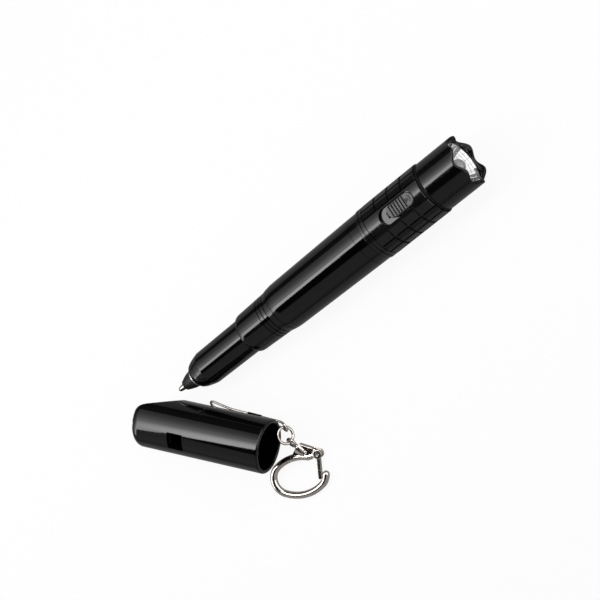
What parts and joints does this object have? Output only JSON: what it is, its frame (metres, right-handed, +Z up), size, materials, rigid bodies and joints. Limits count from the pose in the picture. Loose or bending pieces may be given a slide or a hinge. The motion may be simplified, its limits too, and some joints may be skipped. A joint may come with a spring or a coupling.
{
  "type": "flashlight pen",
  "caption": "Ballpoint pen with a lens light in its tail and a slide switch in a tiled grip, with its whistle cap taken off, a wire clip, a ring and a swivel snap hook.",
  "frame": {"origin": "middle of the whole lay-out on the surface that the pen and its cap lie on", "axes": "+X along the pen from its writing tip to its light, +Z up"},
  "size_m": [0.16, 0.0648, 0.0192],
  "materials": {
    "gloss_black": "polished",
    "matte_black": "fine matte",
    "nickel": "bright nickel plate",
    "steel": "plain",
    "refill_plastic": "translucent white",
    "grey_plastic": "plain",
    "cell_can": "plain",
    "brass_plate": "plain",
    "board": "lacquered",
    "led_epoxy": "clear",
    "mirror_coat": "vacuum metallised",
    "clear_lens": "clear",
    "seal_rubber": "plain"
  },
  "bodies": {
    "pen": {"writing_ball": "steel", "refill_point": "nickel", "refill_tube": "refill_plastic", "nib_cone": "matte_black", "trim_ring": "nickel", "nose_section": "gloss_black", "front_collar": "gloss_black", "barrel": "gloss_black", "barrel_end_ring": "gloss_black", "refill_stop": "grey_plastic"},
    "light": {"grip_sleeve": "gloss_black", "battery_plug": "grey_plastic", "cell_spring": "steel", "button_cells": "cell_can", "contact_plate": "brass_plate", "led_board": "board", "led": "led_epoxy", "reflector": "mirror_coat", "lens_seal": "seal_rubber", "lens": "clear_lens", "head_bezel": "gloss_black", "head_seal": "seal_rubber"},
    "switch": {"switch_button": "gloss_black", "switch_slider": "grey_plastic"},
    "cap": {"cap_shell": "gloss_black", "whistle_block": "matte_black", "wire_clip": "nickel"},
    "ring": {"jump_ring": "nickel"},
    "eye": {"swivel_eye": "nickel"},
    "hook": {"hook_body": "nickel", "gate_pin": "steel", "gate_spring": "steel"},
    "gate": {"hook_gate": "nickel"}
  },
  "joints": [
    {"name": "light_pull", "type": "slide", "parent": "pen", "child": "light", "axis": [0.9998, 0, 0.0201], "range_m": [0, 0.025]},
    {"name": "switch_slide", "type": "slide", "parent": "light", "child": "switch", "axis": [0.9998, 0, 0.0201], "range_m": [-0.0033, 0]},
    {"name": "cap_lift", "type": "slide", "parent": "pen", "child": "cap", "axis": [0, 0, 1], "range_m": [0, 0.06]},
    {"name": "ring_swing", "type": "hinge", "parent": "cap", "child": "ring", "pos_m": [-0.03393, -0.00702, 0.00296], "axis": [0.682, -0.7304, -0.0376], "range_deg": [0, 56]},
    {"name": "eye_tilt", "type": "hinge", "parent": "ring", "child": "eye", "pos_m": [-0.03591, -0.01323, 0.00217], "axis": [-0.6185, -0.2069, 0.7581], "range_deg": [0, 45]},
    {"name": "hook_swivel", "type": "hinge", "parent": "eye", "child": "hook", "pos_m": [-0.03593, -0.01365, 0.00204], "axis": [0.317, -0.9473, -0.0457], "range_deg": [-8, 180]},
    {"name": "gate_open", "type": "hinge", "parent": "hook", "child": "gate", "pos_m": [-0.03012, -0.02189, 0.0016], "axis": [-0.0145, 0.0433, -0.999], "range_deg": [0, 35], "stiffness_Nm_per_rad": 0.002, "springref_deg": -5.73}
  ]
}
